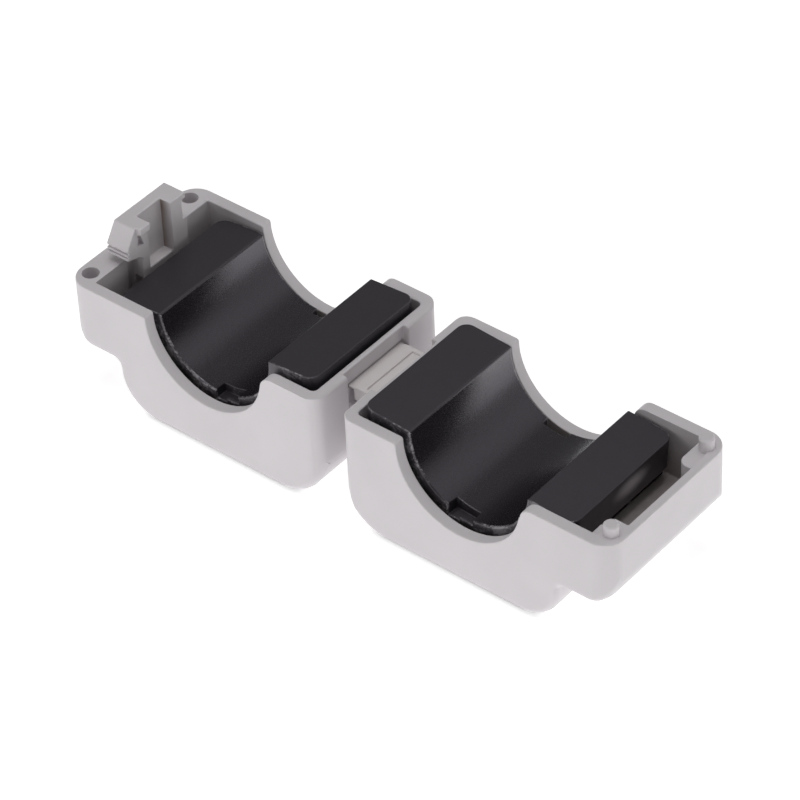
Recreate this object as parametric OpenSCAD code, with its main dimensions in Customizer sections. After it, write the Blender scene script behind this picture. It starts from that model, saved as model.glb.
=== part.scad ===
// Clip-on ferrite bead, lying open: two moulded housing halves, the strap
// that joins them, and a half core of ferrite in each.
// Units mm, +Z up. The cable runs along Y, the halves open along X.
// The rims lie at the height of case_depth and the floor is at z = 0.

/* [Housing] */
// length of the housing along the cable
case_width = 18; // [16:0.1:22]
// height of each half, floor to rim
case_depth = 12.5; // [12.2:0.1:14]
// hinge side face, from the middle of the part
hinge_face = 1.3; // [1.1:0.05:1.5]
// end face of each half, from the middle of the part
end_face = 31.4; // [31.2:0.1:33]
// where the deep body ends and the shallow ear begins
body_end = 25.6; // [25.4:0.1:26]
// height of the ear, its bottom to the rim
ear_depth = 7.15; // [6.8:0.05:7.8]
// bottom radius of the deep body, hinge side
body_radius_hinge = 5; // [3:0.1:5.4]
// bottom radius of the deep body, ear side
body_radius_ear = 4.4; // [3:0.1:4.8]
// bottom radius of the ear at the end face
ear_radius = 2.6; // [1:0.1:3.5]
// rounding of the rim over the hinge side
rim_round = 0.4; // [0.36:0.02:0.5]
// fillet between the ear and the deep body
ear_fillet = 0.7; // [0.2:0.1:1]
// upright corner radius, hinge side
corner_radius_hinge = 1.5; // [0.8:0.1:2]
// upright corner radius, end face
corner_radius_end = 2.2; // [1:0.1:2.6]

/* [Walls] */
// front and rear wall
wall_side = 1.25; // [0.9:0.05:1.4]
// hinge side wall
wall_hinge = 1.15; // [1:0.05:1.25]
// ear side wall of the deep body
wall_body = 0.7; // [0.6:0.05:1]
// end wall of the catch half
wall_end = 0.8; // [0.6:0.05:0.9]
// floor of the deep body
floor_body = 0.8; // [0.6:0.05:0.85]
// floor of the ear
floor_ear = 1; // [0.7:0.05:1.4]
// inside bottom radius of the deep body
inside_radius = 3.4; // [1:0.1:3.8]
// inside upright corner radius of the deep body
inside_corner = 0.5; // [0.2:0.1:1]
// inside upright corner radius of the ear
ear_corner = 2.1; // [1.6:0.1:2.4]

/* [Cable cut-outs] */
// middle of each cut-out, from the middle of the part
bore_centre = 14.73; // [14.5:0.01:14.9]
// radius of the cut-outs in the front and rear walls
cutout_radius = 6.88; // [6.7:0.01:7.1]
// how far the middle of each cut-out lies under the rim
cutout_drop = 0.2; // [0:0.05:0.5]
// large lip radius, on one side of each cut-out
lip_large = 1.35; // [0.5:0.05:1.6]
// small lip radius, on the other side
lip_small = 0.3; // [0.1:0.05:0.6]

/* [Ferrite cores] */
// gap between each end of a core and the wall before it
core_end_gap = 0.4; // [0.3:0.05:0.6]
// gap between a core and the hinge side wall
core_hinge_gap = 0.4; // [0.38:0.01:0.5]
// how far a core's land reaches over the ear, past the deep body
core_over_ear = 0.75; // [0.6:0.05:0.9]
// gap between a level core and the floor under it
core_floor_gap = 0.67; // [0.6:0.01:1.1]
// radius of the bore
core_bore = 6.5; // [6:0.05:6.8]
// how far the middle of the bore lies over the lands
bore_raise = 0.1; // [0.05:0.05:0.2]
// flat on the outer bottom corners, measured along each side
core_flat = 7.6; // [7:0.1:8]
// upright corner radius
core_corner = 1.1; // [0.3:0.1:1.2]
// bevel where the lands meet the bore
land_bevel = 0.15; // [0.1:0.05:0.5]
// width of the notch at each end of the bore
notch_width = 2.7; // [2:0.1:3]
// how far the notches lie from the bore's middle, towards the hinge
notch_offset = 0.65; // [0:0.05:0.8]
// length of the front notch
notch_length = 1.3; // [1:0.05:1.6]
// length of the rear notch
notch_rear = 0.85; // [0.6:0.05:1.2]
// depth of the notch under the bore
notch_depth = 0.9; // [0.6:0.05:1.2]
// width of the low lip left across part of each notch
lip_width = 1.5; // [0.8:0.1:1.8]
// thickness of that lip
lip_thickness = 0.35; // [0.2:0.05:0.5]
// how far the lip lies under the bore
lip_low = 0.5; // [0.2:0.05:0.6]
// tilt of each core about its bore as it lies open, degrees
core_tilt = 4; // [0:0.5:4]
// gap left between the lands and the rim plane once level
land_gap = 0.03; // [0.02:0.01:0.1]

/* [Core seats] */
// middle of the rib that a core rocks on, from the middle of the part
seat_x = 13.6; // [13.4:0.1:13.8]
// width of that rib
seat_width = 1; // [0.6:0.1:1.4]
// gap between that rib and a level core
seat_gap = 0.06; // [0.05:0.01:0.15]

/* [Hinge strap] */
// distance of each fold line from the middle, and its depth under the rim
fold_offset = 1.9; // [1.85:0.01:1.95]
// gap between the two rims once closed, taken off the fold depth
rim_gap = 0.04; // [0.02:0.01:0.1]
// gap between the strap and each half at the folds
fold_gap = 0.05; // [0.03:0.01:0.06]
// half width of the thick middle of the strap
strap_half = 1.5; // [1.3:0.05:1.6]
// front end of the strap
strap_front = 3.5; // [3:0.1:4]
// rear end of the strap
strap_rear = 4.1; // [3.5:0.1:4.2]
// thickness of the middle of the strap
strap_thickness = 1.5; // [1:0.1:1.8]
// radius of the strap's round edge at each fold
fold_radius = 0.26; // [0.2:0.02:0.3]
// depth of the groove over the film at each fold
film_drop = 0.1; // [0.04:0.02:0.12]
// front end of the recess in each hinge side wall
recess_front = 4.35; // [4.2:0.05:4.8]
// rear end of the recess
recess_rear = 4.3; // [4.25:0.05:4.8]
// height of the recess
recess_height = 4; // [3.6:0.1:5]
// depth of the hollow in the top of the strap
hollow_depth = 0.25; // [0.1:0.05:0.4]
// left side of that hollow
hollow_left = 0.35; // [0.1:0.05:0.6]
// right side of that hollow
hollow_right = 1.15; // [0.8:0.05:1.3]
// margin at the front and rear of that hollow
hollow_margin = 0.5; // [0.3:0.05:1]

/* [Latch] */
// outer face of the latch plate, from the middle of the part
latch_outer = 30; // [29.8:0.02:30.1]
// thickness of the plate
latch_plate = 1.3; // [1:0.05:1.8]
// thickness with the rib and the hook
latch_full = 2.6; // [2.2:0.02:2.7]
// height of the plate over the rim
latch_height = 4; // [3:0.1:4.4]
// front edge of the plate
latch_front = 3.35; // [3:0.05:3.5]
// rear edge of the plate
latch_rear = 3.7; // [3:0.05:3.75]
// width of the rear rib
latch_rib = 2.1; // [1:0.05:2.4]
// front face of the hook
hook_front = 4.6; // [4:0.05:4.7]
// rear side of the hook
hook_rear = 1.7; // [1.2:0.05:2.2]
// underside of the hook over the rim
hook_under = 0.9; // [0.5:0.05:1.2]
// height over the rim where the hook's slope begins
hook_slope = 2.1; // [1.8:0.05:2.6]
// depth of the grooves across the hook
groove_depth = 0.22; // [0.1:0.02:0.3]
// number of grooves
groove_count = 2; // [1:1:3]
// height of each groove
groove_height = 0.24; // [0.1:0.02:0.3]
// reach of the hook's inner head past the rib
head_reach = 0.45; // [0.2:0.05:0.5]
// thickness of that head
head_thickness = 0.85; // [0.5:0.05:1]
// how deep the hook's leg runs below the rim
latch_root = 2.4; // [0.5:0.1:3]
// ledge under the latch, how far it lies under the rim
ledge_low = 1.7; // [1:0.1:3]
// ledge under the latch, its inner side from the middle of the part
ledge_inner = 27.6; // [27.2:0.05:28.2]
// height of the small window in the rib's rear edge
window_height = 2.1; // [1:0.1:2.4]
// width of the window
window_width = 0.5; // [0.3:0.05:0.6]
// depth of the window
window_depth = 0.6; // [0.4:0.1:1.6]
// height of the window's lower end above the rim
window_low = 1.2; // [1:0.1:1.4]
// inner side of the land along the end wall, from the middle of the part
land_x = 28.7; // [28.5:0.05:28.9]
// inner side of the land behind the latch, from the middle of the part
land_rear_x = 28.45; // [28.4:0.05:28.7]
// width of the slit between the land and the hook
slit_width = 0.75; // [0.4:0.05:1]

/* [Pegs and catch] */
// middle of each peg and hole, from the middle of the part
peg_x = 30.05; // [29.8:0.05:30.1]
// middle of each peg and hole, along the cable
peg_y = 7; // [6.8:0.05:7.1]
// diameter of the pegs
peg_diameter = 1.44; // [1.2:0.02:1.5]
// height of the pegs over the rim
peg_height = 1.2; // [0.8:0.05:1.5]
// bevel round the top of each peg
peg_bevel = 0.15; // [0.05:0.05:0.3]
// clearance of a peg in its hole, all round
peg_clearance = 0.12; // [0.1:0.01:0.2]
// depth of the holes
hole_depth = 1.7; // [1.6:0.05:2.4]
// inner side of the corner blocks, from the middle of the part
block_x = 29.1; // [28.9:0.05:29.3]
// front corner block, its rear side
block_front = 5.2; // [4.9:0.05:5.4]
// ledge beside the front corner block, its inner side
ledge_x = 27.8; // [27.4:0.05:28.4]
// how far that ledge lies under the rim
ledge_drop = 1.2; // [0.5:0.1:3]
// catch lobe, its inner side from the middle of the part
lobe_x = 28.9; // [28.7:0.05:29.2]
// catch lobe, its front side
lobe_front = 4.15; // [4.1:0.05:4.6]
// radius of the catch lobe's nose
lobe_radius = 0.95; // [0.4:0.05:1.2]
// how far the lobe's top lies under the rim
lobe_drop = 0.3; // [0.1:0.05:0.8]

/* [Hidden] */
$fn = 64;
eps = 0.01;
half_width = case_width / 2;
body_right = body_end - wall_body;
body_left = hinge_face + wall_hinge;
side_in = half_width - wall_side;
fold_depth = fold_offset - rim_gap / 2;
recess_face = fold_offset + fold_gap;
core_half_length = side_in - core_end_gap;
core_bottom = case_depth - floor_body - core_floor_gap;
bore_z = bore_raise - land_gap;
land_left = body_left + core_hinge_gap;
land_right = body_end + core_over_ear;
hole_radius = peg_diameter / 2 + peg_clearance;
plastic = [0.81, 0.79, 0.8];
ferrite = [0.2, 0.19, 0.21];

// a flat shape drawn as x, height and spread along the cable
module along_cable(from, to)
  translate([0, to, 0]) rotate([90, 0, 0]) linear_extrude(height = to - from) children();

// a rectangle from x0, z0 to x1, z1 with its lower corners rounded
module trough(x0, x1, z0, z1, r0, r1) {
  difference() {
    translate([x0, z0]) square([x1 - x0, z1 - z0]);
    translate([x0 - 1, z0 - 1]) square([r0 + 1, r0 + 1]);
    translate([x1 - r1, z0 - 1]) square([r1 + 1, r1 + 1]);
  }
  translate([x0 + r0, z0 + r0]) circle(r = r0);
  translate([x1 - r1, z0 + r1]) circle(r = r1);
}

// a rectangle in plan with all four corners rounded, two radii
module plan(x0, x1, y, r0, r1) {
  difference() {
    translate([x0, -y]) square([x1 - x0, 2 * y]);
    for (s = [-1, 1]) {
      translate([x0 - 1, s > 0 ? y - r0 : -y - 1]) square([r0 + 1, r0 + 1]);
      translate([x1 - r1, s > 0 ? y - r1 : -y - 1]) square([r1 + 1, r1 + 1]);
    }
  }
  for (s = [-1, 1]) {
    translate([x0 + r0, s * (y - r0)]) circle(r = r0);
    translate([x1 - r1, s * (y - r1)]) circle(r = r1);
  }
}

// outline of one half, seen along the cable, rim at height 0
module case_outline() {
  trough(hinge_face, body_end, -case_depth, 0, body_radius_hinge, body_radius_ear);
  trough(body_end - 8, end_face, -ear_depth, 0, 0.5, ear_radius);
  difference() {
    translate([body_end - eps, -ear_depth - ear_fillet]) square([ear_fillet + eps, ear_fillet + eps]);
    translate([body_end + ear_fillet, -ear_depth - ear_fillet]) circle(r = ear_fillet);
  }
}

// what is cut off the rim over the hinge side
module rim_cut() difference() {
  translate([hinge_face - 1, -rim_round]) square([rim_round + 1, rim_round + 1]);
  translate([hinge_face + rim_round, -rim_round]) circle(r = rim_round);
}

// outline of the cut-out for the cable, with its two lips
module cutout_outline(lip_left, lip_right) {
  translate([bore_centre, -cutout_drop]) circle(r = cutout_radius);
  translate([bore_centre - cutout_radius, -cutout_drop]) square([2 * cutout_radius, 5]);
  difference() {
    translate([bore_centre - cutout_radius - lip_left, -lip_left])
      square([2 * cutout_radius + lip_left + lip_right, lip_left + 1]);
    translate([bore_centre - cutout_radius - lip_left, -lip_left]) circle(r = lip_left);
    translate([bore_centre - cutout_radius - lip_left - 1, -2]) square([1, 4]);
    translate([bore_centre, -2]) square([20, 4]);
  }
  difference() {
    translate([bore_centre, -lip_right]) square([cutout_radius + lip_right, lip_right + 1]);
    translate([bore_centre + cutout_radius + lip_right, -lip_right]) circle(r = lip_right);
  }
}

// one half without its fittings, opening upwards, towards +X
module case_shell(lip_left, lip_right) {
  difference() {
    intersection() {
      along_cable(-half_width, half_width) case_outline();
      translate([0, 0, -case_depth - 1]) linear_extrude(height = case_depth + 2)
        plan(hinge_face, end_face, half_width, corner_radius_hinge, corner_radius_end);
    }
    // the deep body's hollow
    intersection() {
      along_cable(-side_in, side_in)
        trough(body_left, body_right, floor_body - case_depth, 1, inside_radius, inside_radius);
      translate([0, 0, -case_depth - 1]) linear_extrude(height = case_depth + 3)
        plan(body_left, body_right + 4, side_in, inside_corner, inside_corner);
    }
    // the ear's hollow
    intersection() {
      along_cable(-side_in, side_in)
        trough(body_right - 4, end_face - wall_end, floor_ear - ear_depth, 1, 0.5, ear_radius - wall_end);
      translate([0, 0, -ear_depth]) linear_extrude(height = ear_depth + 2)
        plan(body_right - 4.5, end_face - wall_end, side_in, inside_corner, ear_corner);
    }
    along_cable(-half_width - 1, half_width + 1) {
      cutout_outline(lip_left, lip_right);
      rim_cut();
    }
    // the recess that the strap folds into
    translate([hinge_face - 1, -recess_front, -recess_height])
      cube([recess_face - hinge_face + 1, recess_front + recess_rear, recess_height + 1]);
    // the round seat of the fold
    translate([fold_offset, recess_rear, -fold_depth]) rotate([90, 0, 0])
      cylinder(r = fold_radius + fold_gap, h = recess_front + recess_rear);
  }
  // rib that the core rocks on
  translate([seat_x - seat_width / 2, -side_in - eps, -case_depth + eps])
    cube([seat_width, 2 * side_in + 2 * eps, case_depth - core_bottom - seat_gap - eps]);
}

module raised() translate([0, 0, case_depth]) children();

module latch() {
  outer = latch_outer;
  inner = latch_outer - latch_full;
  // the plate
  translate([outer - latch_plate, -latch_front, -1]) cube([latch_plate, latch_front + latch_rear, latch_height + 1]);
  // the rear rib, with a small window in its rear edge
  difference() {
    translate([inner, latch_rear - latch_rib, -ledge_low - 1])
      cube([latch_full, latch_rib, latch_height + ledge_low + 1]);
    translate([inner - 1, latch_rear - window_width, window_low])
      cube([1 + window_depth, window_width + 0.5, window_height]);
  }
  // the ledge under the latch
  translate([ledge_inner, -hook_rear, floor_ear / 2 - ear_depth])
    cube([2, hook_rear + latch_rear, ear_depth - floor_ear / 2 - ledge_low]);
  // the hook, its slope, its leg and its grooves
  difference() {
    translate([outer, 0, 0]) rotate([0, -90, 0]) linear_extrude(height = latch_full) difference() {
      polygon([[hook_under, -hook_front], [hook_slope, -hook_front], [latch_height, -latch_front],
        [latch_height, -hook_rear], [-latch_root, -hook_rear], [-latch_root, slit_width - latch_front],
        [0, slit_width - latch_front], [hook_under / 2, slit_width / 2 - latch_front]]);
      for (i = [0 : groove_count - 1]) translate([hook_under + 0.3 + i * 0.46, -hook_front - 1]) square([groove_height, 1 + groove_depth]);
    }
    // small hollow in the hook's inner side
    translate([inner - 1, 0, 0]) rotate([90, 0, 90]) linear_extrude(height = 1.55)
      polygon([[0.15 - latch_front, hook_under + 1], [-hook_rear - 0.6, hook_under + 0.8],
        [-hook_rear - 1, latch_height - 0.5]]);
  }
  // the inner head
  translate([inner - head_reach, 0.25 - latch_front, latch_height - head_thickness])
    cube([head_reach + eps, latch_front - 0.25 - hook_rear, head_thickness]);
}

// the part of a half's end that a fitting may fill, just inside its skin
module ear_space() intersection() {
  translate([0, 0, -ear_depth]) linear_extrude(height = ear_depth)
    plan(hinge_face, end_face - 0.2, half_width - 0.2, corner_radius_hinge, corner_radius_end - 0.2);
  along_cable(-half_width, half_width)
    trough(hinge_face, end_face - 0.2, -ear_depth + 0.2, 0, 0.5, ear_radius - 0.2);
}

module latch_half() {
  deep = ear_depth - floor_ear / 2;
  color(plastic) raised() mirror([1, 0, 0]) {
    difference() {
      union() {
        case_shell(lip_large, lip_small);
        // the land along the end wall
        intersection() {
          union() {
            translate([land_x, -half_width, -deep]) cube([end_face - land_x, 2 * half_width, deep]);
            translate([land_rear_x, latch_rear, -deep])
              cube([end_face - land_rear_x, half_width - latch_rear, deep]);
          }
          ear_space();
        }
        latch();
      }
      // slit beside the hook
      translate([land_x - 1, -latch_front - 0.1, -deep]) cube([1.35, slit_width + 0.1, deep - eps]);
      for (s = [-1, 1]) translate([peg_x, s * peg_y, -hole_depth]) cylinder(r = hole_radius, h = hole_depth + 0.5);
    }
  }
}

module catch_half() {
  deep = ear_depth - floor_ear / 2;
  color(plastic) raised() {
    case_shell(lip_small, lip_large);
    intersection() {
      union() {
        // front corner block and the ledge beside it
        translate([block_x, -half_width, -deep]) cube([end_face - block_x, half_width - block_front, deep]);
        translate([ledge_x, -half_width, -deep])
          cube([end_face - ledge_x, half_width - block_front - 0.2, deep - ledge_drop]);
        // catch lobe
        translate([lobe_x + lobe_radius, lobe_front, -deep])
          cube([end_face - lobe_x, half_width - lobe_front, deep - lobe_drop]);
        translate([lobe_x, lobe_front + lobe_radius, -deep])
          cube([end_face - lobe_x, half_width - lobe_front - lobe_radius, deep - lobe_drop]);
        translate([lobe_x + lobe_radius, lobe_front + lobe_radius, -deep])
          cylinder(r = lobe_radius, h = deep - lobe_drop);
      }
      ear_space();
    }
    // pegs
    for (s = [-1, 1]) translate([peg_x, s * peg_y, -1]) {
      cylinder(r = peg_diameter / 2, h = peg_height + 1 - peg_bevel);
      cylinder(r = peg_diameter / 2 - peg_bevel, h = peg_height + 1);
      translate([0, 0, peg_height + 1 - peg_bevel])
        cylinder(r1 = peg_diameter / 2, r2 = peg_diameter / 2 - peg_bevel, h = peg_bevel);
    }
  }
}

// end view of the strap: a thick middle and a film with a round edge to each side
module strap_outline() {
  top = -fold_depth;
  translate([-strap_half, top - strap_thickness]) square([2 * strap_half, strap_thickness]);
  difference() {
    union() {
      translate([-fold_offset, top - fold_radius]) square([2 * fold_offset, fold_radius]);
      for (s = [-1, 1]) translate([s * fold_offset, top]) circle(r = fold_radius);
    }
    translate([-4, top - film_drop]) square([8, 1]);
  }
}

module hinge_strap() {
  color(plastic) raised() difference() {
    along_cable(-strap_front, strap_rear) strap_outline();
    translate([-hollow_left, hollow_margin - strap_front, -fold_depth - hollow_depth])
      cube([hollow_left + hollow_right, strap_front + strap_rear - 2 * hollow_margin, 1]);
  }
}

// a core as it lies level, towards +X, its lands just under height 0; lip_side is 0 or 180
module core_level(lip_side) {
  y = core_half_length;
  c = core_flat;
  difference() {
    intersection() {
      along_cable(-y, y) difference() {
        polygon([[land_left, -land_gap], [land_left, c - core_bottom], [land_left + c, -core_bottom],
          [land_right - c, -core_bottom], [land_right, c - core_bottom], [land_right, -land_gap]]);
        translate([bore_centre, bore_z]) circle(r = core_bore);
        translate([bore_centre, -land_gap]) polygon([[-core_bore - land_bevel, eps], [-core_bore - land_bevel, 0],
          [land_bevel - core_bore, -2 * land_bevel], [core_bore - land_bevel, -2 * land_bevel],
          [core_bore + land_bevel, 0], [core_bore + land_bevel, eps]]);
      }
      translate([0, 0, -core_bottom - 1]) linear_extrude(height = core_bottom + 2)
        plan(land_left, land_right, y, core_corner, core_corner);
    }
    // a notch at each end, the front one longer and with a low lip across part of it
    for (a = [0, 180]) translate([bore_centre - notch_offset, 0, bore_z - core_bore]) rotate([0, 0, a]) difference() {
      length = a == lip_side ? notch_length : notch_rear;
      translate([-notch_width / 2, -y - 1, -notch_depth]) cube([notch_width, length + 1, notch_depth + 2]);
      if (a == lip_side) translate([notch_width / 2 - lip_width, -y - 2, -notch_depth - 1])
        cube([lip_width + 1, lip_thickness + 2, notch_depth + 1 - lip_low]);
    }
  }
}

module core_lying(lip_side) translate([bore_centre, 0, bore_z]) rotate([0, core_tilt, 0])
  translate([-bore_centre, 0, -bore_z]) core_level(lip_side);

module latch_core() color(ferrite) raised() rotate([0, 0, 180]) core_lying(180);

module catch_core() color(ferrite) raised() core_lying(0);

latch_half();
catch_half();
hinge_strap();
latch_core();
catch_core();
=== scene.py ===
# Clip-on ferrite bead, lying open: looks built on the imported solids.
import math

import bmesh
import bpy
from bpy.props import FloatProperty, FloatVectorProperty, PointerProperty
from mathutils import Matrix, Vector


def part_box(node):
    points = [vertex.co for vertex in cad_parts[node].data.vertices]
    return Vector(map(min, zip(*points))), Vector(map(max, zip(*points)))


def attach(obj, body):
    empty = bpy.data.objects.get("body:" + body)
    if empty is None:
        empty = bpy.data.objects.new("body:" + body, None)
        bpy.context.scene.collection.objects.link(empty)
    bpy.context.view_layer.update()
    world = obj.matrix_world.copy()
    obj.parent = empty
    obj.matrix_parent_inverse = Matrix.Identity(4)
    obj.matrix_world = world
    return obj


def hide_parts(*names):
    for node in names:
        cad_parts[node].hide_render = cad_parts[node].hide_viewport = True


bl_info = {
    "name": "Clip-on ferrite bead",
    "version": (1, 0, 0),
    "blender": (4, 5, 0),
    "location": "3D View > Sidebar > Ferrite bead",
    "description": "Dresses an open clip-on ferrite bead in moulded plastic and sintered ferrite",
    "category": "Add Mesh",
}

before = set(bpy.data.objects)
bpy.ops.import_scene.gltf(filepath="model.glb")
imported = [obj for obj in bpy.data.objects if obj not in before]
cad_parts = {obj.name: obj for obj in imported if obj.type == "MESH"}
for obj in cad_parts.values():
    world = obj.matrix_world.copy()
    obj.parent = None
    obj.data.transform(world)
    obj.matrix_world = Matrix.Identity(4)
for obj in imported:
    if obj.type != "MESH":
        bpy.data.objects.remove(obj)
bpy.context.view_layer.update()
MM = 0.001
PEG_RISE = 0.0012  # the pegs stand 1.2 mm over the rims
RIM = max(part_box("catch_half")[1].z - PEG_RISE, 0.0)

# Millimetres, as in the part's own parameters. Where the two halves and their two ends are alike, X and Y are taken
# without their sign. Depths are taken down from the rims.
BORE_X, BORE_REACH, BORE_RISE = 14.73, 6.56, 0.07  # each bore's axis, a little over its radius, axis over the rims
PEG_X, PEG_Y, PEG_REACH = 30.05, 7.0, 0.95  # the pegs and their holes
LIP_HALF, LIP_DEPTH = 8.3, 7.12  # the cable lips, to each side of a bore's axis
FITTINGS_X, FITTINGS_DEPTH = (27.65, 31.0), 4.5  # the latch, the catch and the blocks beside it
OUTER_X, OUTER_REACH, OUTER_DEPTH = 31.2, 1.1, 2.0  # the outer skin: the end wall, the side walls, below the rims
NEAR = 0.1  # an edge this near to a face lies on it
WALL = 1.3  # the side walls
POCKET_X, POCKET_SLACK, POCKET_FLOOR = (2.3, 30.75), 0.08, 0.7  # the inside of a half
SHADE_START, SHADE_DEPTH = 1.2, 4.0  # where the painted shade begins below the rims, and how much lower it is at its darkest
CORNER_X, CORNER_Y, CORNER_SLACK, CORNER_DEPTH = (-28.64, -28.4), 1.6, 0.05, 1.75  # between latch plate and rib
CORNER_SHADE = 1.6  # how strongly painted shade darkens that narrow corner
END_REACH = 0.45  # from a core's end to where its edges are less worn
END_WEAR, SIDE_WEAR, FACE_WEAR = 1.0, 0.16, 0.7  # the edges at a core's ends, its other edges, its end faces
END_EDGE = 0.02  # an edge this near to a core's end outlines its end face
SHEEN_AT, SHEEN_HALF = (26.7, 1.1, -2.25), (1.3, 3.4, 1.5)  # the painted sheen on the catch core's end face, a pale spot in place of a reflection, Z from the rims

FACING = 0.98  # a normal's least Y on a face that looks out of an end

# The stage, in metres and degrees.
FLOOR_HALF, FLOOR_GLOW = 1.5, 0.55  # half the floor's width, and the glow that only the camera sees
LIT = (0, 0, 0.006)  # what the lamps face
CAMERA_AT = (0.187195, -0.216618, 0.252974)
CAMERA_TURN = (40.686, 40.626, -2.805)  # round from the front, up, and roll
SENSOR = 36.0  # millimetres across


class BeadEdges(bpy.types.PropertyGroup):
    """How softly the moulded and sintered edges are rounded."""

    skin: FloatProperty(name="Housing skin", default=0.65, min=0.0, precision=2,
                        description="Rounding of the lower outer edges of both halves, in millimetres")
    lip: FloatProperty(name="Cable lips", default=0.28, min=0.0, precision=2,
                       description="Rounding of the front and rear rims and cable lips, in millimetres")
    rim: FloatProperty(name="Rims", default=0.26, min=0.0, precision=2,
                       description="Rounding along the tops of the walls, in millimetres")
    fitting: FloatProperty(name="Fittings", default=0.14, min=0.0, precision=2,
                           description="Rounding of the latch, catch and lands, in millimetres")
    hole: FloatProperty(name="Holes", default=0.05, min=0.0, precision=2,
                        description="Rounding round the peg holes and pegs, in millimetres")
    strap: FloatProperty(name="Strap", default=0.12, min=0.0, precision=2,
                         description="Rounding of the hinge strap, in millimetres")
    core_end: FloatProperty(name="Core ends", default=0.2, min=0.0, precision=2,
                            description="Rounding of the ends of the ferrite cores, in millimetres")
    core_side: FloatProperty(name="Core sides", default=0.1, min=0.0, precision=2,
                             description="Rounding along the lands of the ferrite cores, in millimetres")


class BeadFinish(bpy.types.PropertyGroup):
    """Colours and surface of the plastic and the ferrite."""

    case_colour: FloatVectorProperty(name="Housing", description="Colour of the moulded halves",
                                     subtype="COLOR", size=3, min=0.0, max=1.0, default=(0.62, 0.592, 0.612))
    strap_colour: FloatVectorProperty(name="Strap", description="Colour of the hinge strap",
                                      subtype="COLOR", size=3, min=0.0, max=1.0, default=(0.72, 0.68, 0.68))
    # Painted shade: the colour the inner walls of the halves are darkened towards, more so lower down and in the
    # corner by the latch rib.
    dust_colour: FloatVectorProperty(name="Painted shade", description="Colour of the shade painted on the inner walls",
                                     subtype="COLOR", size=3, min=0.0, max=1.0, default=(0.23, 0.175, 0.15))
    ferrite_colour: FloatVectorProperty(name="Ferrite", description="Colour of the sintered cores",
                                        subtype="COLOR", size=3, min=0.0, max=1.0, default=(0.0090, 0.0072, 0.0092))
    # Also the base of the painted sheen spot on the catch core's end face, brightened 2.4 times.
    worn_colour: FloatVectorProperty(name="Worn ferrite", description="Colour of the rubbed and crumbled edges",
                                     subtype="COLOR", size=3, min=0.0, max=1.0, default=(0.22, 0.21, 0.22))
    case_roughness: FloatProperty(name="Housing roughness", description="Roughness of the moulded skin",
                                  default=0.48, min=0.0, max=1.0, subtype="FACTOR")
    ferrite_roughness: FloatProperty(name="Ferrite roughness", description="Roughness of the sintered skin",
                                     default=0.36, min=0.0, max=1.0, subtype="FACTOR")


class BeadStage(bpy.types.PropertyGroup):
    """Floor, lamps and lens."""

    table: FloatProperty(name="Table lamp", default=3.88, min=0.0,
                         description="Strength of the broad soft light that comes up off the table")
    top: FloatProperty(name="Top lamp", default=0.86, min=0.0, description="Strength of the lamp straight above")
    front: FloatProperty(name="Front lamp", default=0.36, min=0.0,
                         description="Strength of the lamp at the front left")
    rear: FloatProperty(name="Rear lamp", default=0.12, min=0.0,
                        description="Strength of the lamp high behind the right end")
    side: FloatProperty(name="Side lamp", default=0.084, min=0.0,
                        description="Strength of the low lamp behind the right end")
    end: FloatProperty(name="End lamp", default=0.135, min=0.0,
                       description="Strength of the lamp beside the right end")
    world: FloatProperty(name="Surroundings", default=0.242, min=0.0,
                         description="Strength of the even light all round")
    lens: FloatProperty(name="Lens", default=186.62, min=1.0, description="Focal length of the camera in millimetres")


# ---------------------------------------------------------------- node tools
def node(tree, kind, place=(0, 0), **values):
    """Adds a node; values set its properties, or its inputs by name where it has no such property."""
    made = tree.nodes.new(kind)
    made.location = place
    for key, value in values.items():
        if hasattr(made, key):
            setattr(made, key, value)
        else:
            made.inputs[key.replace("_", " ")].default_value = value
    return made


def maths(tree, operation, *terms, place=(0, 0), clamp=False):
    """A maths node on sockets and plain numbers; returns its output."""
    made = node(tree, "ShaderNodeMath", place, operation=operation, use_clamp=clamp)
    for socket, term in zip(made.inputs, terms):
        if isinstance(term, bpy.types.NodeSocket):
            tree.links.new(term, socket)
        else:
            socket.default_value = term
    return made.outputs[0]


def ramp(tree, value, place=(0, 0), **values):
    """A map range node on a socket; returns its output."""
    made = node(tree, "ShaderNodeMapRange", place, **values)
    tree.links.new(value, made.inputs["Value"])
    return made.outputs["Result"]


def texture(tree, kind, where, scale, **values):
    """A texture node on a socket of places, with a socket for its scale; returns its outputs."""
    made = node(tree, kind, **values)
    tree.links.new(where, made.inputs["Vector"])
    tree.links.new(scale, made.inputs["Scale"])
    return made.outputs


def own_space(tree):
    """The socket of places in a piece's own space, in metres."""
    return node(tree, "ShaderNodeTexCoord").outputs["Object"]


def per_metre(tree, size):
    """How often a size in millimetres goes into a metre, as the scale of a texture."""
    return maths(tree, "DIVIDE", 1 / MM, size)


def marked(tree, name, place=(0, 0)):
    """The socket of a mark that the mesh tools leave on a piece."""
    return node(tree, "ShaderNodeAttribute", place, attribute_name=name).outputs["Fac"]


def group(name, inputs, outputs):
    """A shader node group. An input with None for its default is a vector. Returns the tree, the sockets that give
    its inputs and the sockets that take its outputs."""
    tree = bpy.data.node_groups.new(name, "ShaderNodeTree")
    for label, default in inputs.items():
        kind = "NodeSocketVector" if default is None else "NodeSocketFloat"
        socket = tree.interface.new_socket(name=label, in_out="INPUT", socket_type=kind)
        if default is not None:
            socket.default_value = default
    for label in outputs:
        tree.interface.new_socket(name=label, in_out="OUTPUT", socket_type="NodeSocketFloat")
    return tree, tree.nodes.new("NodeGroupInput").outputs, tree.nodes.new("NodeGroupOutput").inputs


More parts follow.
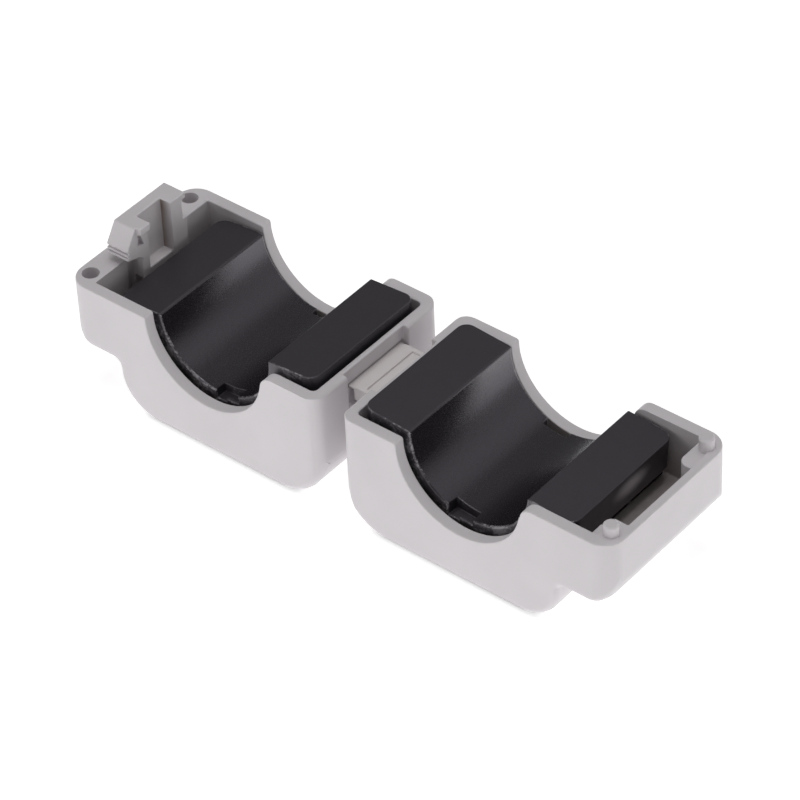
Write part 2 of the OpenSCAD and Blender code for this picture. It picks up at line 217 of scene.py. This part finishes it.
def once(build):
    """Builds a node group the first time that it is asked for, and gives the same one after that."""
    name = build.__name__.replace("_", " ")

    def given():
        held = bpy.data.node_groups
        return held[name] if name in held else build(name)

    return given


def use(tree, tool, place, **values):
    """Places a group in a material with its own values; returns its outputs."""
    return node(tree, "ShaderNodeGroup", place, node_tree=tool, **values).outputs


@once
def moulded_grain(name):
    """Very fine pitting and slow unevenness of a moulded or pressed skin: a height, a cloud mask and a speckle."""
    tree, given, result = group(name, {"Grain size mm": 0.12, "Cloud size mm": 4.0, "Pitting": 0.3},
                                ("Height", "Cloud", "Speckle"))
    where = own_space(tree)
    grains = per_metre(tree, given["Grain size mm"])
    clouds = per_metre(tree, given["Cloud size mm"])
    fine = texture(tree, "ShaderNodeTexNoise", where, grains, Detail=3.0, Roughness=0.6)["Fac"]
    cloud = texture(tree, "ShaderNodeTexNoise", where, clouds, Detail=2.0, Roughness=0.5)["Fac"]
    pits = texture(tree, "ShaderNodeTexVoronoi", where, maths(tree, "MULTIPLY", grains, 0.35))["Distance"]
    pit_edge = ramp(tree, pits, From_Min=0.0, From_Max=0.28, To_Min=1.0, To_Max=0.0)
    pitted = maths(tree, "MULTIPLY", pit_edge, given["Pitting"])
    tree.links.new(maths(tree, "SUBTRACT", fine, pitted), result["Height"])
    tree.links.new(cloud, result["Cloud"])
    tree.links.new(fine, result["Speckle"])
    return tree


@once
def rubbed_edge(name):
    """Mask of rubbed edges: the softened edges of a piece, broken up so that the wear comes and goes."""
    tree, given, result = group(name, {"Amount": 0.6, "Patch size mm": 1.2}, ("Mask",))
    patch = texture(tree, "ShaderNodeTexNoise", own_space(tree), per_metre(tree, given["Patch size mm"]),
                    Detail=4.0, Roughness=0.65)["Fac"]
    worn = maths(tree, "MULTIPLY", marked(tree, "edge"), ramp(tree, patch, From_Min=0.35, From_Max=0.62))
    tree.links.new(maths(tree, "MULTIPLY", worn, given["Amount"], clamp=True), result["Mask"])
    return tree


@once
def crumbled_edge(name):
    """Mask of crumbled specks: small bright grains scattered over the end edges of a pressed piece."""
    tree, given, result = group(name, {"Amount": 1.0, "Speck size mm": 0.3}, ("Mask",))
    where = own_space(tree)
    speck = texture(tree, "ShaderNodeTexNoise", where, per_metre(tree, given["Speck size mm"]),
                    Detail=2.0, Roughness=0.7)["Fac"]
    broad = node(tree, "ShaderNodeTexNoise", Scale=420.0, Detail=1.0)
    tree.links.new(where, broad.inputs["Vector"])
    few = ramp(tree, maths(tree, "ADD", speck, broad.outputs["Fac"]), From_Min=0.99, From_Max=1.15)
    ends = ramp(tree, marked(tree, "edge"), From_Min=0.3, From_Max=1.0)
    both = maths(tree, "MULTIPLY", ends, few)
    tree.links.new(maths(tree, "MULTIPLY", both, given["Amount"], clamp=True), result["Mask"])
    return tree


@once
def soft_smear(name):
    """Mask of one soft-edged oblong spot of painted sheen, its place and half sizes in metres, fading out to its rim.
    """
    tree, given, result = group(name, {"Place": None, "Half size": None, "Amount": 1.0}, ("Mask",))
    away = node(tree, "ShaderNodeVectorMath", operation="SUBTRACT")
    tree.links.new(own_space(tree), away.inputs[0])
    tree.links.new(given["Place"], away.inputs[1])
    scaled = node(tree, "ShaderNodeVectorMath", operation="DIVIDE")
    tree.links.new(away.outputs["Vector"], scaled.inputs[0])
    tree.links.new(given["Half size"], scaled.inputs[1])
    reach = node(tree, "ShaderNodeVectorMath", operation="LENGTH")
    tree.links.new(scaled.outputs["Vector"], reach.inputs[0])
    fade = ramp(tree, reach.outputs["Value"], interpolation_type="SMOOTHSTEP", From_Min=1.0, From_Max=0.15,
                To_Min=0.0, To_Max=1.0)
    tree.links.new(maths(tree, "MULTIPLY", fade, given["Amount"], clamp=True), result["Mask"])
    return tree


@once
def dusty_pocket(name):
    """Mask of painted shade on the inner walls, darker low down and broken into slow patches."""
    tree, given, result = group(name, {"Amount": 0.8, "Patch size mm": 2.5}, ("Mask",))
    patch = texture(tree, "ShaderNodeTexNoise", own_space(tree), per_metre(tree, given["Patch size mm"]),
                    Detail=5.0, Roughness=0.6)["Fac"]
    patchy = ramp(tree, patch, From_Min=0.3, From_Max=0.7, To_Min=0.7, To_Max=1.15)
    deep_shade = maths(tree, "MULTIPLY", marked(tree, "painted_shade"), patchy)
    tree.links.new(maths(tree, "MULTIPLY", deep_shade, given["Amount"], clamp=True), result["Mask"])
    return tree


def blend_of(tree, place, factor, low, high):
    """A colour mix; low and high are sockets or plain colours. Returns its output."""
    mix = node(tree, "ShaderNodeMix", place, data_type="RGBA")
    tree.links.new(factor, mix.inputs["Factor"])
    for socket, value in zip([s for s in mix.inputs if s.type == "RGBA"], (low, high)):
        if isinstance(value, bpy.types.NodeSocket):
            tree.links.new(value, socket)
        else:
            socket.default_value = tuple(min(1.0, c) for c in value[:3]) + (1.0,)
    return [s for s in mix.outputs if s.type == "RGBA"][0]


def toned(colour, by):
    """A colour made lighter or darker."""
    return [channel * by for channel in colour]


def skinned(name, specular):
    """A new material; returns it, its tree and the inputs of its shader."""
    material = bpy.data.materials.new(name)
    material.use_nodes = True
    skin = material.node_tree.nodes["Principled BSDF"].inputs
    skin["Specular IOR Level"].default_value = specular
    return material, material.node_tree, skin


def bumped(tree, skin, height, strength, tall=0.00004):
    """Raises a skin by a height socket, its tallest bumps in metres."""
    bump = node(tree, "ShaderNodeBump", (-300, -300), Strength=strength, Distance=tall)
    tree.links.new(height, bump.inputs["Height"])
    tree.links.new(bump.outputs["Normal"], skin["Normal"])


def plastic(name, colour, shade_colour, roughness):
    """Satin moulded plastic with fine grain, slow clouds, slightly rubbed, paler edges and painted shade on its inner
    walls, darker lower down.
    """
    material, tree, skin = skinned(name, specular=0.35)
    grain = use(tree, moulded_grain(), (-1100, 0), Grain_size_mm=0.11, Cloud_size_mm=5.0, Pitting=0.25)
    rubbed = use(tree, rubbed_edge(), (-1100, -300), Amount=0.3, Patch_size_mm=1.6)
    # Painted shade: the inner walls are darkened towards the shade colour, more so lower down and in the latch
    # corner.
    inner_shade = use(tree, dusty_pocket(), (-1100, -500), Amount=0.55, Patch_size_mm=2.5)
    clouds = blend_of(tree, (-800, 100), grain["Cloud"], toned(colour, 0.94), toned(colour, 1.036))
    edged = blend_of(tree, (-600, 100), rubbed["Mask"], clouds, toned(colour, 1.1))
    # The painted shade is laid over the grained and rubbed colour here.
    tree.links.new(blend_of(tree, (-400, 100), inner_shade["Mask"], edged, shade_colour), skin["Base Color"])
    rough = ramp(tree, grain["Speckle"], (-500, -150), From_Min=0.3, From_Max=0.7, To_Min=roughness - 0.05,
                 To_Max=roughness + 0.07)
    tree.links.new(rough, skin["Roughness"])
    bumped(tree, skin, grain["Height"], strength=0.12)
    return material


def sintered(name, colour, worn, roughness):
    """Pressed and sintered ferrite: violet black and finely grained, smoother in the bore, with rubbed edges, pale
    crumbled specks at its ends and one spot of painted sheen."""
    material, tree, skin = skinned(name, specular=0.9)
    skin["Specular Tint"].default_value = (0.95, 0.90, 1.0, 1.0)
    grain = use(tree, moulded_grain(), (-1100, 0), Grain_size_mm=0.09, Cloud_size_mm=3.0, Pitting=0.5)
    rubbed = use(tree, rubbed_edge(), (-1100, -300), Amount=0.35, Patch_size_mm=2.4)
    specks = use(tree, crumbled_edge(), (-1100, -500), Amount=1.0, Speck_size_mm=0.28)
    # Painted sheen: a pale soft spot on the catch core's end face, in the worn colour brightened 2.4 times, in place
    # of a reflection.
    sheen_spot = use(tree, soft_smear(), (-1100, -900), Amount=0.9, Half_size=[half * MM for half in SHEEN_HALF],
                Place=(SHEEN_AT[0] * MM, SHEEN_AT[1] * MM, RIM + SHEEN_AT[2] * MM))
    half_worn = [(a + b) / 2 for a, b in zip(colour, worn)]
    clouds = blend_of(tree, (-800, 100), grain["Cloud"], toned(colour, 0.8), toned(colour, 1.25))
    edged = blend_of(tree, (-600, 100), rubbed["Mask"], clouds, half_worn)
    specked = blend_of(tree, (-400, 100), specks["Mask"], edged, worn)
    # The painted sheen spot is laid over the ferrite colour here.
    tree.links.new(blend_of(tree, (-200, 100), sheen_spot["Mask"], specked, toned(worn, 2.4)), skin["Base Color"])
    polish = ramp(tree, marked(tree, "bore", (-1100, -700)), (-700, -250), To_Min=0.08, To_Max=-0.12)
    rough = ramp(tree, grain["Speckle"], (-700, -50), From_Min=0.3, From_Max=0.7, To_Min=roughness - 0.06,
                 To_Max=roughness + 0.08)
    tree.links.new(maths(tree, "ADD", rough, polish, place=(-400, -150)), skin["Roughness"])
    lumps = maths(tree, "ADD", grain["Height"], specks["Mask"], place=(-500, -400))
    bumped(tree, skin, lumps, strength=0.3)
    return material


# ---------------------------------------------------------------- mesh tools
def merged(cad_node, weld=0.03, flat=0.6):
    """A copy of a CAD solid as one closed shell in millimetres. Points nearer than weld become one, and faces that
    turn less than flat degrees become one."""
    bm = bmesh.new()
    bm.from_mesh(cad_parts[cad_node].data)
    bmesh.ops.scale(bm, vec=[1 / MM] * 3, verts=bm.verts)
    bmesh.ops.remove_doubles(bm, verts=bm.verts, dist=weld)
    bmesh.ops.dissolve_limit(bm, angle_limit=math.radians(flat), use_dissolve_boundaries=False, verts=bm.verts,
                             edges=bm.edges, delimit=set())
    bm.normal_update()
    return bm


def room(edge, most=100.0, alike=0.75, apart=0.001):
    """The least width of the two faces beside an edge, up to a side that runs much the same way."""
    least = most
    along = (edge.verts[1].co - edge.verts[0].co).normalized()
    middle = (edge.verts[0].co + edge.verts[1].co) / 2
    for face in edge.link_faces:
        across = face.normal.cross(along)
        mine = next(loop for loop in face.loops if loop.edge is edge)
        if (mine.link_loop_next.vert.co - mine.vert.co).dot(along) < 0:
            across.negate()
        for share in (0.1, 0.5, 0.9):
            start = edge.verts[0].co.lerp(edge.verts[1].co, share)
            for other in face.edges:
                if other is edge:
                    continue
                a, b = other.verts[0].co - start, other.verts[1].co - start
                if abs((b - a).normalized().dot(along)) < alike:
                    continue
                ax, bx = a.dot(along), b.dot(along)
                if (ax > 0) == (bx > 0):
                    continue
                at = a.dot(across) + (b.dot(across) - a.dot(across)) * ax / (ax - bx)
                if at > apart:
                    least = min(least, at)
    return least


def chains(bm, sharp, turn=35.0):
    """The sharp edges of a shell, gathered into the smooth lines they form."""
    edges = [e for e in bm.edges if len(e.link_faces) == 2 and math.degrees(e.calc_face_angle(0.0)) > sharp]
    head = {e: e for e in edges}

    def top(edge):
        while head[edge] is not edge:
            head[edge] = head[head[edge]]
            edge = head[edge]
        return edge

    for vert in bm.verts:
        here = [e for e in vert.link_edges if e in head]
        for i, one in enumerate(here):
            for two in here[:i]:
                a = one.other_vert(vert).co - vert.co
                b = vert.co - two.other_vert(vert).co
                if math.degrees(a.angle(b)) < turn:
                    head[top(one)] = top(two)
    lines = {}
    for edge in edges:
        lines.setdefault(top(edge), []).append(edge)
    return list(lines.values())


def distinct(elements):
    """Mesh elements without repeats, in the order in which they come, so that each run gives the same mesh."""
    return list(dict.fromkeys(elements))


def tidied(mesh, wide=40, reach=0.075, short=0.15, speck=0.005):
    """Closes the tiny folds that rounding leaves in the outline of the big many-sided faces, then the slivers that
    lie folded back between their neighbours, and last the many-sided specks where a rounding runs out."""
    bm = bmesh.new()
    bm.from_mesh(mesh)
    rims = [v for face in bm.faces if len(face.verts) > wide and abs(face.normal.y) > 0.99 for v in face.verts]
    bmesh.ops.remove_doubles(bm, verts=distinct(rims), dist=reach)
    for attempt in range(2):
        bm.normal_update()
        folded = []
        for face in bm.faces:
            beside = [other.normal for edge in face.edges for other in edge.link_faces if other is not face]
            shortest = min(face.edges, key=lambda edge: edge.calc_length())
            if len(face.verts) < 6 and sum(face.normal.dot(n) for n in beside) < 0 and shortest.calc_length() < short:
                folded.append(shortest)
        if folded:
            bmesh.ops.collapse(bm, edges=distinct(folded))
    specks = [face for face in bm.faces if len(face.verts) > 5 and face.calc_area() < speck]
    bmesh.ops.collapse(bm, edges=distinct(edge for face in specks for edge in face.edges))
    bm.to_mesh(mesh)
    bm.free()


def settled(piece):
    """Turns what a piece's modifiers make of it into its mesh, and returns that."""
    bpy.context.view_layer.update()
    before = piece.data
    after = bpy.data.meshes.new_from_object(piece.evaluated_get(bpy.context.evaluated_depsgraph_get()))
    piece.modifiers.clear()
    piece.data = after
    bpy.data.meshes.remove(before)
    return after


def fair_width(line, widths, share=0.4, many=12):
    """How widely a line of edges can be rounded: the least that is wanted along it, held to a share of its length
    and of the room beside it. In a line of many edges the tightest quarter of them doesn't count."""
    rooms = sorted(room(edge) for edge in line)
    tight = rooms[len(rooms) // 4 if len(rooms) > many else 0]
    return min(min(widths(edge) for edge in line), share * tight, share * sum(edge.calc_length() for edge in line))


def softened(bm, name, widths, sharp=28.0, least=0.012, segments=3, crease=40.0, wear=lambda centre: 1.0,
             flat_wear=0.0):
    """Rounds the sharp edges of a shell, each line of edges by its own width, and shades it smoothly. The rounded
    faces are marked as edge by their wear, and the flat faces at its two ends by flat_wear."""
    mesh = bpy.data.meshes.new(name)
    weights = bm.edges.layers.float.new("bevel_weight_edge")
    wanted = [(line, fair_width(line, widths)) for line in chains(bm, sharp)]
    wanted = [(line, width) for line, width in wanted if width > least]
    widest = max(width for line, width in wanted)
    for line, width in wanted:
        for edge in line:
            edge[weights] = width / widest
    bm.to_mesh(mesh)
    bm.free()
    piece = bpy.data.objects.new(name, mesh)
    bpy.context.scene.collection.objects.link(piece)
    mesh.materials.append(None)  # the first slot is for the flat faces, and the second for the rounded ones
    mesh.materials.append(None)
    bevel = piece.modifiers.new("soft edges", "BEVEL")
    bevel.limit_method = "WEIGHT"
    bevel.width = widest
    bevel.segments = segments
    bevel.profile = 0.5
    bevel.material = 1
    bevel.use_clamp_overlap = False
    bevel.loop_slide = True
    shaped = settled(piece)
    tidied(shaped)
    mark = shaped.attributes.new("edge", "FLOAT", "FACE")
    index = [0] * len(shaped.polygons)
    shaped.polygons.foreach_get("material_index", index)
    mark.data.foreach_set("value", [
        wear(face.center) if rounded else flat_wear * (abs(face.normal.y) > FACING)
        for rounded, face in zip(index, shaped.polygons)])
    shaped.polygons.foreach_set("material_index", [0] * len(index))
    shaped.materials.clear()
    shaped.polygons.foreach_set("use_smooth", [True] * len(index))
    shaped.set_sharp_from_angle(angle=math.radians(crease))
    even = piece.modifiers.new("even normals", "WEIGHTED_NORMAL")
    even.keep_sharp = True
    even.weight = 90
    final = settled(piece)
    final.name = name
    final.transform(Matrix.Scale(MM, 4))
    straightened(final)
    return piece


def straightened(mesh, most=33.0):
    """Gives a corner its own face's normal where a big neighbour has turned it too far."""
    normals = [corner.vector.copy() for corner in mesh.corner_normals]
    for face in mesh.polygons:
        for at in face.loop_indices:
            if normals[at].length > 0.5 and math.degrees(face.normal.angle(normals[at])) > most:
                normals[at] = face.normal.copy()
    mesh.normals_split_custom_set(normals)


def bored(piece):
    """Marks the points of a core that lie on its bore."""
    mesh = piece.data
    mark = mesh.attributes.new("bore", "FLOAT", "POINT")
    axis = RIM / MM + BORE_RISE
    reach = [math.hypot(abs(v.co.x) / MM - BORE_X, v.co.z / MM - axis) for v in mesh.vertices]
    mark.data.foreach_set("value", [1.0 if r < BORE_REACH else 0.0 for r in reach])


def pocketed(piece, side):
    """Marks the points of a half that lie inside its walls for painted shade, deeper ones more strongly, and the
    narrow corner between latch plate and rib most strongly.
    """
    mesh = piece.data
    mark = mesh.attributes.new("painted_shade", "FLOAT", "POINT")
    rim = RIM / MM
    depths = []
    for vert in mesh.vertices:
        x, y, z = vert.co / MM
        inside = abs(y) < side + POCKET_SLACK and POCKET_X[0] < abs(x) < POCKET_X[1] and z > POCKET_FLOOR
        depth = max(0.0, min(1.0, (rim - SHADE_START - z) / SHADE_DEPTH)) if inside else 0.0
        if CORNER_X[0] < x < CORNER_X[1] and abs(y - CORNER_Y) < CORNER_SLACK and z > rim - CORNER_DEPTH:
            depth = CORNER_SHADE
        depths.append(depth)
    mark.data.foreach_set("value", depths)


def half_width(edge, edges, side):
    """How widely one edge of a half is to be rounded, from where it lies."""
    x, y, z = (edge.verts[0].co + edge.verts[1].co) / 2
    x, y, depth = abs(x), abs(y), RIM / MM - z
    if math.hypot(x - PEG_X, y - PEG_Y) < PEG_REACH:
        return edges.hole
    if y > side - NEAR:
        lip = depth < LIP_DEPTH and abs(x - BORE_X) < LIP_HALF
        return edges.lip if lip or depth < NEAR else edges.skin
    if FITTINGS_X[0] < x < FITTINGS_X[1] and depth < FITTINGS_DEPTH:
        return edges.fitting
    if abs(depth) < NEAR:
        return edges.rim
    if depth > OUTER_DEPTH and (y > side - OUTER_REACH or x > OUTER_X):
        return edges.skin
    return edges.fitting


def seat(piece, body, material, slot, *nodes):
    """Paints a finished piece and sets it on its body in place of its CAD nodes."""
    piece.data.materials.clear()
    piece.data.materials.append(material)
    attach(piece, body)
    if nodes:
        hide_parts(*nodes)


def finish_of(key):
    """The material of one finish, made once."""
    finish = bpy.context.scene.bead_finish
    if key in bpy.data.materials:
        return bpy.data.materials[key]
    if key == "moulded_housing":
        return plastic(key, finish.case_colour, finish.dust_colour, finish.case_roughness)
    if key == "moulded_strap":
        return plastic(key, finish.strap_colour, finish.dust_colour, finish.case_roughness + 0.04)
    return sintered(key, finish.ferrite_colour, finish.worn_colour, finish.ferrite_roughness)


# ---------------------------------------------------------------- the pieces
class BEAD_OT_housing(bpy.types.Operator):
    """Both moulded halves with their latch, catch and pegs, softened and grained"""

    bl_idname = "bead.housing"
    bl_label = "Housing halves"

    def execute(self, context):
        edges = context.scene.bead_edges
        for half in ("latch_half", "catch_half"):
            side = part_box(half)[1].y / MM
            piece = softened(merged(half), half + "_moulding", lambda edge: half_width(edge, edges, side), sharp=16.0)
            # Painted shade inside the half, darker lower down and strongest in the corner by the latch rib.
            pocketed(piece, side - WALL)
            seat(piece, half, finish_of("moulded_housing"), "case", half)
        return {"FINISHED"}


class BEAD_OT_strap(bpy.types.Operator):
    """The folding strap between the halves"""

    bl_idname = "bead.strap"
    bl_label = "Hinge strap"

    def execute(self, context):
        width = context.scene.bead_edges.strap
        piece = softened(merged("hinge_strap"), "hinge_strap_moulding", lambda edge: width)
        seat(piece, "hinge_strap", finish_of("moulded_strap"), "strap", "hinge_strap")
        return {"FINISHED"}


class BEAD_OT_cores(bpy.types.Operator):
    """The two half-round ferrite cores with rubbed and crumbled edges"""

    bl_idname = "bead.cores"
    bl_label = "Ferrite cores"

    def execute(self, context):
        edges = context.scene.bead_edges
        for core in ("latch_core", "catch_core"):
            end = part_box(core)[1].y / MM

            def widths(edge, end=end):
                at_end = all(abs(v.co.y) > end - END_EDGE for v in edge.verts)
                return edges.core_end if at_end else edges.core_side

            def wear(centre, end=end):
                return END_WEAR if abs(centre.y) > end - END_REACH else SIDE_WEAR

            piece = softened(merged(core), core + "_ferrite", widths, wear=wear, flat_wear=FACE_WEAR)
            bored(piece)
            seat(piece, core, finish_of("sintered_ferrite"), "ferrite", core)
        return {"FINISHED"}


def lamp(name, place, size, strength, target=LIT):
    """A square or oblong soft lamp that faces a point, which is the middle of the bead unless another is given."""
    data = bpy.data.lights.new(name, "AREA")
    data.shape = "RECTANGLE"
    data.size, data.size_y = size
    data.energy = strength
    made = bpy.data.objects.new(name, data)
    bpy.context.scene.collection.objects.link(made)
    made.location = place
    made.rotation_mode = "QUATERNION"
    made.rotation_quaternion = (Vector(target) - Vector(place)).to_track_quat("-Z", "Y")
    return made


class BEAD_OT_stage(bpy.types.Operator):
    """Pale floor, even soft lamps and the camera"""

    bl_idname = "bead.stage"
    bl_label = "Stage"

    def execute(self, context):
        stage = context.scene.bead_stage
        scene = context.scene
        scene.view_settings.view_transform = "Standard"
        bm = bmesh.new()
        bmesh.ops.create_grid(bm, x_segments=1, y_segments=1, size=FLOOR_HALF)
        mesh = bpy.data.meshes.new("floor")
        bm.to_mesh(mesh)
        bm.free()
        floor = bpy.data.objects.new("floor", mesh)
        scene.collection.objects.link(floor)
        paint = bpy.data.materials.new("pale_floor")
        paint.use_nodes = True
        tree = paint.node_tree
        tree.nodes.clear()
        link = tree.links.new
        out = node(tree, "ShaderNodeOutputMaterial", (400, 0))
        both = node(tree, "ShaderNodeAddShader", (200, 0))
        matt = node(tree, "ShaderNodeBsdfDiffuse", (0, 100), Color=(0.86, 0.86, 0.86, 1.0))
        glow = node(tree, "ShaderNodeEmission", (0, -100), Color=(1.0, 1.0, 1.0, 1.0))
        rays = node(tree, "ShaderNodeLightPath", (-400, -100))
        seen = maths(tree, "MULTIPLY", rays.outputs["Is Camera Ray"], FLOOR_GLOW, place=(-200, -100))
        link(seen, glow.inputs["Strength"])
        link(matt.outputs[0], both.inputs[0])
        link(glow.outputs[0], both.inputs[1])
        link(both.outputs[0], out.inputs["Surface"])
        mesh.materials.append(paint)

        world = bpy.data.worlds.new("surroundings")
        world.use_nodes = True
        tree = world.node_tree
        sky = tree.nodes["Background"]
        sky.inputs["Color"].default_value = (1.0, 1.0, 1.0, 1.0)
        rays = node(tree, "ShaderNodeLightPath", (-800, 0)).outputs
        shown = maths(tree, "MAXIMUM", rays["Is Camera Ray"], rays["Is Transmission Ray"], place=(-600, 0))
        level = ramp(tree, shown, (-400, 0), To_Min=stage.world, To_Max=1.0)
        tree.links.new(level, sky.inputs["Strength"])
        scene.world = world

        table = lamp("table_lamp", (0, 0, 0.0004), (1.2, 1.2), stage.table, target=(0, 0, 1.0))
        table.visible_camera = False
        lamp("top_lamp", (0, 0, 0.506), (0.3, 0.3), stage.top)
        lamp("front_lamp", (-0.235, -0.407, 0.177), (0.3, 0.3), stage.front)
        lamp("rear_lamp", (0.251, 0.289, 0.327), (0.3, 0.3), stage.rear)
        lamp("side_lamp", (0.375, 0.314, 0.11), (0.4, 0.2), stage.side)
        lamp("end_lamp", (0.483, 0, 0.135), (0.3, 0.3), stage.end)

        azimuth, elevation, roll = (math.radians(a) for a in CAMERA_TURN)
        back = Vector((math.sin(azimuth) * math.cos(elevation), -math.cos(azimuth) * math.cos(elevation),
                       math.sin(elevation)))
        right = Vector((math.cos(azimuth), math.sin(azimuth), 0.0))
        up = back.cross(right)
        across = right * math.cos(roll) + up * math.sin(roll)
        upright = up * math.cos(roll) - right * math.sin(roll)
        turn = Matrix((across, upright, back)).transposed().to_4x4()
        data = bpy.data.cameras.new("camera")
        data.lens = stage.lens
        data.sensor_width = SENSOR
        data.clip_start, data.clip_end = 0.01, 10.0
        camera = bpy.data.objects.new("camera", data)
        scene.collection.objects.link(camera)
        camera.matrix_world = Matrix.Translation(CAMERA_AT) @ turn
        scene.camera = camera
        return {"FINISHED"}


class BEAD_PT_sidebar(bpy.types.Panel):
    """Shows the edge, finish and stage settings, and a button for each step that builds the pieces and the stage"""

    bl_idname = "BEAD_PT_sidebar"
    bl_label = "Ferrite bead"
    bl_space_type = "VIEW_3D"
    bl_region_type = "UI"
    bl_category = "Ferrite bead"

    def draw(self, context):
        for settings in (context.scene.bead_edges, context.scene.bead_finish, context.scene.bead_stage):
            box = self.layout.box()
            for key in settings.__annotations__:
                box.prop(settings, key)
        for operator in OPERATORS:
            self.layout.operator(operator.bl_idname)


OPERATORS = (BEAD_OT_housing, BEAD_OT_strap, BEAD_OT_cores, BEAD_OT_stage)
CLASSES = (BeadEdges, BeadFinish, BeadStage, *OPERATORS, BEAD_PT_sidebar)


def register():
    for cls in CLASSES:
        bpy.utils.register_class(cls)
    bpy.types.Scene.bead_edges = PointerProperty(type=BeadEdges)
    bpy.types.Scene.bead_finish = PointerProperty(type=BeadFinish)
    bpy.types.Scene.bead_stage = PointerProperty(type=BeadStage)


def unregister():
    del bpy.types.Scene.bead_stage
    del bpy.types.Scene.bead_finish
    del bpy.types.Scene.bead_edges
    for cls in reversed(CLASSES):
        bpy.utils.unregister_class(cls)


def main():
    register()
    for build in (bpy.ops.bead.housing, bpy.ops.bead.strap, bpy.ops.bead.cores, bpy.ops.bead.stage):
        build()


if __name__ == "__main__":
    main()
